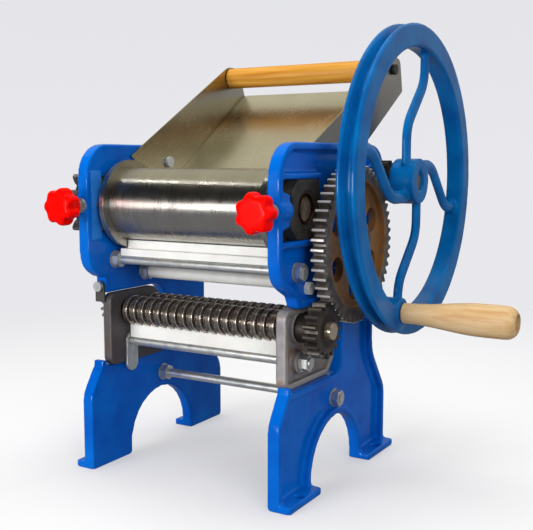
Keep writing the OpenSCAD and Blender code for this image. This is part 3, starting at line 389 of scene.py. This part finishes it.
# Bushes
# The shafts turn in plain bushes of cast bronze, pressed into the frames, blocks and cutter plates.
# Oil and flour dust have browned them.
bronze, tree, where = new_finish("oiled_bronze", Metallic=1.0)
stain = noise(tree, where, 4 * mm, 5)
tone = tones(tree, stain, [(0.35, "#5A3A22"), (0.65, "#9C6B40")])
gloss = varied(tree, stain, 0.55, 0.3)
wire(tree, Base_Color=tone, Roughness=gloss)
dress(bronze, "rear_roller_bushes", "crank_bushes", "front_roller_bushes", "cutter_bushes")


# Scraper and guide tube
# A strip of white nylon lies on the front tie rod and strips dough from the front roller. A nylon tube turns
# freely on the next rod and leads the sheet of dough down to the cutter. Both are milled and cut from stock.

def eased(node, material, width):
    """A copy of a CAD node with the small chamfers that a file or a tumbler leaves on its edges."""
    piece = merged_copy(node, node + "_eased")
    piece.data.shade_smooth()
    bevel = piece.modifiers.new("ease", "BEVEL")
    bevel.width = width
    bevel.segments = 2
    bevel.limit_method = "ANGLE"
    bevel.angle_limit = math.radians(32)
    bevel.use_clamp_overlap = False
    piece.modifiers.new("flats", "WEIGHTED_NORMAL").keep_sharp = True
    bake(piece)
    piece.data.materials.append(material)
    return piece


def stretch(tree, where, scale):
    """Coordinates scaled along each axis, so that a pattern is drawn out where the scale is small."""
    return add(tree, "ShaderNodeMapping", {"Vector": where, "Scale": scale}).outputs[0]


# White nylon: a waxy, slightly see-through plastic with faint milling streaks and a dusty tint.
nylon, tree, where = new_finish("white_nylon", IOR=1.53, Roughness=0.38,
                                Subsurface_Weight=0.12, Subsurface_Scale=1.5 * mm)
dust = noise(tree, where, 22 * mm, 4)
tone = tones(tree, dust, [(0.3, "#DAD9D4"), (0.7, "#EAEAE7")])
along = stretch(tree, where, (0.05, 1, 1))
streak = noise(tree, along, 1.2 * mm, 2)
fine = bump(tree, streak, 0.2, 0.06 * mm)
wire(tree, Base_Color=tone, Normal=fine)
fit(eased("roller_scraper", nylon, width=0.35 * mm), "frame", "white_nylon", "roller_scraper")
low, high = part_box("guide_tube")
tube = turned_ring("guide_tube_cut", low.x, high.x, bore=4.05 * mm, outer=(high.y - low.y) / 2, edge=0.5 * mm,
                   centre=((low + high) / 2).yz)
tube.data.materials.append(nylon)
fit(tube, "guide_tube", "white_nylon", "guide_tube")
# A small bolt in a spare hole of the right web is given white nylon, as a painted highlight for its bright
# plated head.
bolt = pattern(hex_nut("web_bolt_pattern", across=10 * mm, thick=5 * mm, bore=0.4 * mm))
bolt_place = Vector((97.4, -47.5, 171.2)) * mm
fit(set_out("web_bolt", on_points, [bolt_place], [(1, 0, 0)], Piece=bolt, Finish=nylon, Seed=2),
    "frame", "white_nylon")


# Sheeting rollers
# Two ground steel rollers press the dough into a sheet. The front one has a disc at each end that keeps the
# sheet in. The grinding wheel leaves fine lines round them, and handling leaves dull smudges.
ground, tree, where = new_finish("ground_steel", Metallic=1.0, Anisotropic=0.85, Anisotropic_Rotation=0.25)
# The real lines are finer than the picture can show, so they are drawn 0.7 mm apart.
round_it = stretch(tree, where, (1, 0.012, 0.012))
line = noise(tree, round_it, 0.7 * mm, 3)
band = noise(tree, round_it, 9 * mm, 3)
smudge = noise(tree, where, 17 * mm, 5, Distortion=0.6)
mixed = add(tree, "ShaderNodeMix", {0: 0.5, 2: line, 3: band}).outputs[0]
tone = tones(tree, mixed, [(0.3, "#A8A49C"), (0.7, "#BDB9B2")])
dull = spread(tree, smudge, 0.42, 0.72, 0.27, 0.38)
keen = varied(tree, line, -0.03, 0.03)
gloss = calc(tree, "ADD", dull, keen)
fine = bump(tree, line, 0.12, 0.02 * mm)
swirl = add(tree, "ShaderNodeTangent", direction_type="RADIAL", axis="X").outputs[0]
wire(tree, Tangent=swirl, Base_Color=tone, Roughness=gloss, Normal=fine)
dress(ground, "front_roller", "rear_roller", "front_roller_discs")

# Machined steel of shafts and pins: duller and darker than the rollers, with turning marks and oil in them.
machined, tree, where = new_finish("machined_steel", Metallic=0.6)
round_it = stretch(tree, where, (1, 0.05, 0.05))
mark = noise(tree, round_it, 0.8 * mm, 3)
oil = noise(tree, where, 6 * mm, 4)
tone = tones(tree, oil, [(0.32, "#6A5848"), (0.66, "#A5978A")])
gloss = varied(tree, oil, 0.45, 0.26)
fine = bump(tree, mark, 0.3, 0.06 * mm)
wire(tree, Base_Color=tone, Roughness=gloss, Normal=fine)
dress(machined, "front_roller_shaft", "rear_roller_shaft")


# Bearing blocks
# The front roller turns in two cast-iron blocks that slide in windows of the frames. They are left unpainted,
# milled on the sliding faces and black with oil.
iron, tree, where = new_finish("oiled_cast_iron", Metallic=0.4)
stain = noise(tree, where, 11 * mm, 5)
grain = noise(tree, where, 1.6 * mm, 4)
tone = tones(tree, stain, [(0.3, "#2E2E2D"), (0.55, "#474543"), (0.75, "#584738")])
gloss = varied(tree, grain, 0.36, 0.56)
fine = bump(tree, grain, 0.5, 0.25 * mm)
wire(tree, Base_Color=tone, Roughness=gloss, Normal=fine)
fit(eased("front_bearing_blocks", iron, width=0.9 * mm), "carriage", "dark_iron", "front_bearing_blocks")


# Adjusting screws and knobs
# A zinc-plated screw on each side moves a bearing block, and so sets how thick the sheet is. Its knob is
# moulded from red phenolic with seven rounded lobes for the fingers.
dress(zinc, "left_adjusting_screw", "right_adjusting_screw")

# This tree winds a thread about the way each point faces. The ridge is a bead 0.8 of the pitch thick.
thread, given = new_tree("rolled_thread", Points="Geometry", Length="Float", Pitch="Float", Radius="Float",
                         Finish="Material")
turns = calc(thread, "DIVIDE", given["Length"], given["Pitch"])
crest = calc(thread, "MULTIPLY", given["Pitch"], 0.4)
coil = add(thread, "GeometryNodeCurveSpiral", {
    "Resolution": 32, "Rotations": turns, "Start Radius": given["Radius"], "End Radius": given["Radius"],
    "Height": given["Length"]}).outputs[0]
bead = add(thread, "GeometryNodeCurvePrimitiveCircle", {"Resolution": 6, "Radius": crest}).outputs[0]
ridge = add(thread, "GeometryNodeCurveToMesh", {"Curve": coil, "Profile Curve": bead, "Fill Caps": True})
end_tree(thread, given, ridge.outputs[0], along_facing(thread, "Z"))
for side in ("left", "right"):
    low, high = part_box(side + "_adjusting_screw")
    start = (low + high) / 2
    start.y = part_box(side + "_knob")[1].y + 0.2 * mm
    fit(set_out(side + "_thread", thread, [start], [(0, 1, 0)],
                Length=4.2 * mm, Pitch=1.25 * mm, Radius=3.85 * mm, Finish=zinc),
        side + "_knob", "zinc_plate")

# Phenolic moulding: a deep red with a faint mottle and the texture of the mould.
phenolic, tree, where = new_finish("red_phenolic", IOR=1.6, Specular_IOR_Level=0.03)
mottle = noise(tree, where, 6 * mm, 4)
tone = tones(tree, mottle, [(0.3, "#E60503"), (0.7, "#FA0A05")])
gloss = varied(tree, mottle, 0.14, 0.26)
skin = noise(tree, where, 1.4 * mm, 1)
fine = bump(tree, skin, 0.2, 0.1 * mm)
wire(tree, Base_Color=tone, Roughness=gloss, Normal=fine)
for side in ("left", "right"):
    knob = side + "_knob"
    fit(cast_skin(knob, phenolic, voxel=0.6 * mm, passes=90), knob, "red_phenolic", knob)


# Gears
# A small pinion on the crank drives a large gear on the rear roller, which drives the cutter gear below it.
# On the other side plain spur gears turn the second roller of each pair. All are cast steel with cut teeth.

def gear_finish(name, centre, web_from, web_to, tip, web_tone, dark, bright, tip_highlight_tone, metal):
    """Cut steel, dark to bright, with an oily film on the web between two radii, and a painted highlight on
    the tips.
    """
    material, tree, where = new_finish(name, Metallic=metal)
    about = add(tree, "ShaderNodeMapping", {
        "Vector": where, "Location": (0, -centre[0], -centre[1]), "Scale": (0, 1, 1)}).outputs[0]
    radius = add(tree, "ShaderNodeVectorMath", {0: about}, operation="LENGTH").outputs["Value"]
    patch = noise(tree, where, 8 * mm, 5)
    grain = noise(tree, where, 1.3 * mm, 3)
    inside = spread(tree, radius, web_from, web_from + 2 * mm)
    outside = spread(tree, radius, web_to + 1.5 * mm, web_to - 1.5 * mm)
    web = calc(tree, "MULTIPLY", inside, outside)
    uneven = spread(tree, patch, 0.25, 0.6, 0.35, 1.0)
    film = calc(tree, "MULTIPLY", web, uneven)
    steel = tones(tree, patch, [(0.3, dark), (0.7, bright)])
    tone = mix(tree, film, steel, rgb(web_tone))
    # The tips of the teeth are painted lighter: a painted highlight.
    tip_highlight = spread(tree, radius, tip - 0.7 * mm, tip - 0.2 * mm)
    tone = mix(tree, tip_highlight, tone, rgb(tip_highlight_tone))
    gloss = spread(tree, film, 0.0, 1.0, 0.33, 0.55)
    fine = bump(tree, grain, 0.4, 0.15 * mm)
    wire(tree, Base_Color=tone, Roughness=gloss, Normal=fine)
    return material


# The tips of the teeth carry a painted highlight, strongest on the drive gear, which is brown on its web; the
# others are black with oil.
# After the body come the radii in mm between which the film lies, the film's colour, the dark and bright
# steel, the colour of the painted highlight on the tips, and last the share of metal.
for node, body, inner, outer, film, dark, bright, tip, metal in (
        ("drive_gear", "rear_roller", 20, 55, "#9A6C3C", "#49423C", "#7A736B", "#D8D3CC", 0.4),
        ("crank_pinion", "crank", 8, 12, "#3A322C", "#2B2725", "#4C4642", "#4C4642", 0.6),
        ("cutter_gear", "front_cutter", 7, 14, "#332C28", "#2B2725", "#575049", "#575049", 0.6),
        ("front_sync_gear", "front_roller", 14, 24, "#3A322C", "#35312E", "#5E5852", "#6E6862", 0.6),
        ("rear_sync_gear", "rear_roller", 14, 24, "#3A322C", "#35312E", "#5E5852", "#6E6862", 0.6),
        ("front_cutter_sync_gear", "front_cutter", 6, 9, "#3A322C", "#4A4540", "#7C766F", "#8A847D", 0.6),
        ("rear_cutter_sync_gear", "rear_cutter", 6, 9, "#3A322C", "#4A4540", "#7C766F", "#8A847D", 0.6)):
    low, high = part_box(node)
    steel = gear_finish(node + "_steel", ((low + high) / 2).yz, inner * mm, outer * mm,
                        (high.z - low.z) / 2, film, dark, bright, tip, metal)
    fit(eased(node, steel, width=0.25 * mm), body, "gear_steel", node)
dress(machined, "drive_gear_key")


# Crank and handwheel
# The crank shaft runs through both frames, with a collar on the far end. The handwheel is one iron casting
# with a grooved rim and curved spokes, enamelled like the frames and rubbed dull where it is held.
dress(machined, "crank_shaft", "wheel_key", "shaft_collar")
wheel_enamel, tree, where = new_finish("rubbed_blue_enamel", IOR=1.52, Specular_IOR_Level=0.16)
cloud = noise(tree, where, 30 * mm, 4)
scuff = noise(tree, where, 7 * mm, 6)
tone = tones(tree, cloud, [(0.3, "#034E90"), (0.7, "#056AAE")])
gloss = varied(tree, scuff, 0.08, 0.2)
peel = noise(tree, where, 2.6 * mm, 2)
ripple = noise(tree, where, 13 * mm, 2)
wavy = bump(tree, ripple, 0.4, 0.9 * mm)
fine = bump(tree, peel, 0.35, 0.15 * mm, Normal=wavy)
wire(tree, Base_Color=tone, Roughness=gloss, Normal=fine)
fit(cast_skin("handwheel", wheel_enamel, voxel=1.2 * mm, passes=5), "crank", "wheel_enamel", "handwheel")


# Handle
# A turned grip of plain beech spins on a steel spindle riveted into the rim. It is sanded and left bare, so
# growth rings a few millimetres apart show in it, and short dark flecks along the grain.
dress(machined, "handle_spindle")
beech, tree, where = new_finish("bare_beech", IOR=1.5, Specular_IOR_Level=0.35)
grain = stretch(tree, where, (0.07, 1, 1))
ring = noise(tree, grain, 4 * mm, 4)
fleck_map = stretch(tree, where, (0.16, 1, 1))
fleck = noise(tree, fleck_map, 0.8 * mm, 2)
tone = tones(tree, ring, [(0.3, "#B98F5E"), (0.5, "#C7A77A"), (0.72, "#CFB48A")])
speck = spread(tree, fleck, 0.6, 0.72, 0.0, 0.5)
wood = mix(tree, speck, tone, rgb("#B9854F"))
gloss = varied(tree, fleck, 0.42, 0.58)
fine = bump(tree, fleck, 0.25, 0.1 * mm)
wire(tree, Base_Color=wood, Roughness=gloss, Normal=fine)
dress(beech, "wooden_handle")


# Cutter plates
# The cutter unit slides out as one piece: two small iron castings with a raised rim, machined on the rim and
# rough inside, joined by a rod. The recess shows the brown bloom of bare iron.
plate_iron, tree, where = new_finish("bare_cast_iron", Metallic=0.3)
across = add(tree, "ShaderNodeSeparateXYZ", {0: where}).outputs["X"]
outward = calc(tree, "ABSOLUTE", across)
rim_foot, rim_top = 92.6 * mm, 93.8 * mm
rim = spread(tree, outward, rim_foot, rim_top)
stain = noise(tree, where, 12 * mm, 5)
grain = noise(tree, where, 1.5 * mm, 4)
rough = tones(tree, stain, [(0.3, "#757173"), (0.56, "#8F8A8C"), (0.7, "#94714E")])
milled = tones(tree, grain, [(0.3, "#8A8683"), (0.7, "#A6A29D")])
# The left plate is painted darker than the right one: painted shade.
left_plate_shade = spread(tree, across, 10 * mm, -10 * mm, 0.0, 0.85)
rough = mix(tree, left_plate_shade, rough, rgb("#3A3738"))
tone = mix(tree, rim, rough, milled)
gloss = spread(tree, rim, 0.0, 1.0, 0.52, 0.34)
fine = bump(tree, grain, 0.4, 0.2 * mm)
wire(tree, Base_Color=tone, Roughness=gloss, Normal=fine)
for node in ("left_cutter_plate", "right_cutter_plate"):
    fit(cast_skin(node, plate_iron, voxel=0.8 * mm, passes=3), "frame", "dark_iron", node)


# Cutter rod, comb and link
# A zinc-plated rod ties the plates. The nylon comb clips on it and keeps the noodles from winding round the
# rings, and a flat steel link hangs on the rod.
dress(zinc, "cutter_rod", "cutter_rod_nuts")
fit(eased("noodle_comb", nylon, width=0.3 * mm), "frame", "white_nylon", "noodle_comb")
fit(eased("hanging_link", zinc, width=0.3 * mm), "link", "zinc_plate", "hanging_link")


# Cutter rollers
# Two shafts carry rings of hard steel that pass between each other and slit the sheet into noodles. The rings
# are turned and browned by oil, and their chamfers carry a painted highlight; the shafts are ground bright at
# their ends.
blade, tree, where = new_finish("hard_cutter_steel", Metallic=0.85,
                                Anisotropic=0.6, Anisotropic_Rotation=0.25)
oil = noise(tree, where, 5 * mm, 4)
brown = tones(tree, oil, [(0.3, "#66594F"), (0.7, "#968A7E")])
# Only chamfers lie askew to the shaft, neither along it nor square to it.
facing = add(tree, "ShaderNodeNewGeometry").outputs["True Normal"]
lean = add(tree, "ShaderNodeVectorMath", {0: facing, 1: (1, 0, 0)}, operation="DOT_PRODUCT").outputs["Value"]
slope = calc(tree, "ABSOLUTE", lean)
chamfer_highlight = calc(tree, "MULTIPLY", spread(tree, slope, 0.25, 0.35), spread(tree, slope, 0.97, 0.94))
# The chamfers take a light steel colour: a painted highlight on the ring edges.
tone = mix(tree, chamfer_highlight, brown, rgb("#D8D2CA"))
across = add(tree, "ShaderNodeSeparateXYZ", {0: where}).outputs["X"]
shaft_end = spread(tree, across, 96 * mm, 98 * mm)
tone = mix(tree, shaft_end, tone, rgb("#CDBDA4"))
gloss = varied(tree, oil, 0.32, 0.24)
swirl = add(tree, "ShaderNodeTangent", direction_type="RADIAL", axis="X").outputs[0]
wire(tree, Base_Color=tone, Roughness=gloss, Tangent=swirl)
for side in ("front", "rear"):
    node = side + "_cutter_roller"
    fit(eased(node, blade, width=0.45 * mm), side + "_cutter", "machined_steel", node)


# Latch
# A small iron turnbutton keeps the cutter unit from sliding out. It turns on a plated screw, and is left
# bare and oily.
fit(eased("cutter_latch", iron, width=0.3 * mm), "latch", "dark_iron", "cutter_latch")
dress(zinc, "latch_screw")


# Hopper
# Dough is fed down a sloping floor between two leaning walls. They are cut and folded from thin bright steel
# sheet, whose rolling lines run along the slope, and screwed to the frames.
sheet, tree, where = new_finish("bright_steel_sheet", Metallic=1.0)
slope = math.radians(33.4)
tilt = add(tree, "ShaderNodeMapping", {"Vector": where, "Rotation": (-slope, 0, 0)}).outputs[0]
roll_map = stretch(tree, tilt, (1, 0.03, 1))
roll = noise(tree, roll_map, 1.0 * mm, 3)
cloud = noise(tree, where, 40 * mm, 4)
floor_tone = tones(tree, cloud, [(0.3, "#C2BDAF"), (0.7, "#D2CEC4")])
# The walls are painted darker than the floor of the same sheet: painted shade that brings out the fold.
wall_shade_tone = tones(tree, cloud, [(0.3, "#A19C8D"), (0.7, "#B5B0A2")])
across = add(tree, "ShaderNodeSeparateXYZ", {0: where}).outputs["X"]
outward = calc(tree, "ABSOLUTE", across)
floor_half = 88 * mm
wall_shade = spread(tree, outward, floor_half - 0.5 * mm, floor_half + 0.5 * mm)
tone = mix(tree, wall_shade, floor_tone, wall_shade_tone)
dull = varied(tree, cloud, 0.22, 0.3)
keen = varied(tree, roll, -0.02, 0.02)
gloss = calc(tree, "ADD", dull, keen)
fine = bump(tree, roll, 0.03, 0.02 * mm)
wire(tree, Base_Color=tone, Roughness=gloss, Normal=fine)
dress(sheet, "hopper_floor", "hopper_left_wall", "hopper_right_wall")

# Zinc of the hopper's small screws, paler and flatter than the plating on the rods: partly a painted
# highlight, as the screws sit in shade.
pale_zinc, tree, where = new_finish("passivated_zinc", Metallic=0.4)
cloud = noise(tree, where, 3 * mm, 3)
tone = tones(tree, cloud, [(0.3, "#C6CCD2"), (0.7, "#DDE1E6")])
gloss = varied(tree, cloud, 0.28, 0.4)
wire(tree, Base_Color=tone, Roughness=gloss)
dress(pale_zinc, "hopper_screws")


# Wooden bar
# A varnished round bar across the top keeps the walls apart and serves as a carrying handle. Dark screws
# through the walls hold its ends.
dress(iron, "bar_screws")
varnish, tree, where = new_finish("varnished_wood", IOR=1.5, Specular_IOR_Level=0.3)
grain = stretch(tree, where, (0.04, 1, 1))
ring = noise(tree, grain, 3.5 * mm, 5)
tone = tones(tree, ring, [(0.3, "#B87722"), (0.5, "#C98B2E"), (0.72, "#D8A24C")])
pore_map = stretch(tree, where, (0.06, 1, 1))
pore = noise(tree, pore_map, 0.9 * mm, 2)
fine = bump(tree, pore, 0.2, 0.1 * mm)
gloss = varied(tree, pore, 0.3, 0.42)
wire(tree, Base_Color=tone, Roughness=gloss, Normal=fine)
dress(varnish, "wooden_bar")


# Studio
# The press stands on plain pale paper under soft light from the front left. Lens, place and tilt of the
# camera were fitted to the perspective of the photograph.
bpy.context.scene.view_settings.view_transform = "Standard"
lens = bpy.data.cameras.new("camera")
lens.lens = 59.28
lens.sensor_width = 36
lens.clip_start = 0.01
camera = bpy.data.objects.new("camera", lens)
bpy.context.scene.collection.objects.link(camera)
camera.location = (0.4302, -0.6724, 0.2746)
camera.rotation_euler = (math.radians(90 - 6.80), 0, math.radians(30.85))
bpy.context.scene.camera = camera

floor_mesh = bpy.data.meshes.new("floor")
reach = 12
floor_mesh.from_pydata([(-reach, -reach, 0), (reach, -reach, 0), (reach, reach, 0), (-reach, reach, 0)], [],
                       [(0, 1, 2, 3)])
floor = show("floor", floor_mesh)
paper = bpy.data.materials.new("studio_paper")
paper.use_nodes = True
tree = paper.node_tree
tree.nodes.clear()
where = add(tree, "ShaderNodeTexCoord").outputs["Object"]
far = add(tree, "ShaderNodeVectorMath", {0: where}, operation="LENGTH").outputs["Value"]
ray = add(tree, "ShaderNodeLightPath").outputs
# Near the press the paper is partly matte and takes its shadow. From a metre out it glows like the backdrop.
seen = calc(tree, "MAXIMUM", ray["Is Camera Ray"], ray["Is Glossy Ray"])
seen = calc(tree, "MAXIMUM", seen, ray["Is Transmission Ray"])
fade = spread(tree, far, 0.2, 1.0, 0.45, 1.0, interpolation_type="SMOOTHSTEP")
glow = calc(tree, "MULTIPLY", seen, fade)
sheet_tone = mix(tree, ray["Is Camera Ray"], rgb("#85858A"), rgb("#E8E8EC"))
matte = add(tree, "ShaderNodeBsdfDiffuse", {"Color": sheet_tone}).outputs[0]
far_tone = mix(tree, ray["Is Camera Ray"], rgb("#85878E"), rgb("#E8E8EC"))
backdrop = add(tree, "ShaderNodeEmission", {"Color": far_tone, "Strength": 1.0}).outputs[0]
both = add(tree, "ShaderNodeMixShader", {0: glow, 1: matte, 2: backdrop}).outputs[0]
add(tree, "ShaderNodeOutputMaterial", {"Surface": both})
floor_mesh.materials.append(paper)

studio = bpy.data.worlds.new("studio")
bpy.context.scene.world = studio
studio.use_nodes = True
tree = studio.node_tree
tree.nodes.clear()
way = add(tree, "ShaderNodeTexCoord").outputs["Generated"]
height = add(tree, "ShaderNodeSeparateXYZ", {0: way}).outputs["Z"]
# A pale backdrop and a warm ceiling behind the press, and a dim room behind the camera, give the steel its
# contrast.
cloth = tones(tree, height, [(0.0, "#E8E8EC"), (0.5, "#DEDEE2")])
above = tones(tree, height, [(0.0, "#9A9CA4"), (0.3, "#C4C3BC"), (0.75, "#DAD6BC")])
room = tones(tree, height, [(0.0, "#4A4947"), (0.3, "#33322F")])
lean = add(tree, "ShaderNodeVectorMath", {0: way, 1: (0, 1, 0.33)}, operation="DOT_PRODUCT").outputs["Value"]
behind = spread(tree, lean, -0.04, 0.1, interpolation_type="SMOOTHSTEP")
mirrored = mix(tree, behind, room, above)
seen = add(tree, "ShaderNodeLightPath").outputs["Is Camera Ray"]
round_about = mix(tree, seen, mirrored, cloth)
light = add(tree, "ShaderNodeBackground", {"Color": round_about, "Strength": 1.0}).outputs[0]
add(tree, "ShaderNodeOutputWorld", {"Surface": light})

press_middle = Vector((0, 0, 0.17))
for name, place, wide, high, power in (
        ("key", (-0.6, -1.8, 0.45), 1.2, 0.9, 30),
        ("fill", (1.3, -1.1, 0.7), 0.9, 0.9, 16),
        ("top", (-0.1, 0.1, 1.9), 1.2, 1.2, 24),
        ("back", (0.2, 1.8, 0.7), 1.2, 1.0, 16),
        ("strip", (-0.2, -1.83, 0.25), 0.9, 0.4, 13),
        ("slit", (-0.25, -1.8, 0.28), 0.1, 0.5, 10),
        ("spark", (-0.9, -0.3, 1.4), 0.12, 0.12, 1.0)):
    lamp = bpy.data.lights.new(name, "AREA")
    lamp.shape = "RECTANGLE"
    lamp.size = wide
    lamp.size_y = high
    lamp.energy = power
    stand = bpy.data.objects.new(name, lamp)
    bpy.context.scene.collection.objects.link(stand)
    stand.location = place
    stand.rotation_euler = (press_middle - Vector(place)).to_track_quat("-Z", "Y").to_euler()
    # The strip and the slit draw streaks on the steel, and the spark a glint on the enamel. The others light
    # the press without showing in it.
    stand.visible_glossy = name in ("strip", "slit", "spark")
    stand.visible_diffuse = not stand.visible_glossy
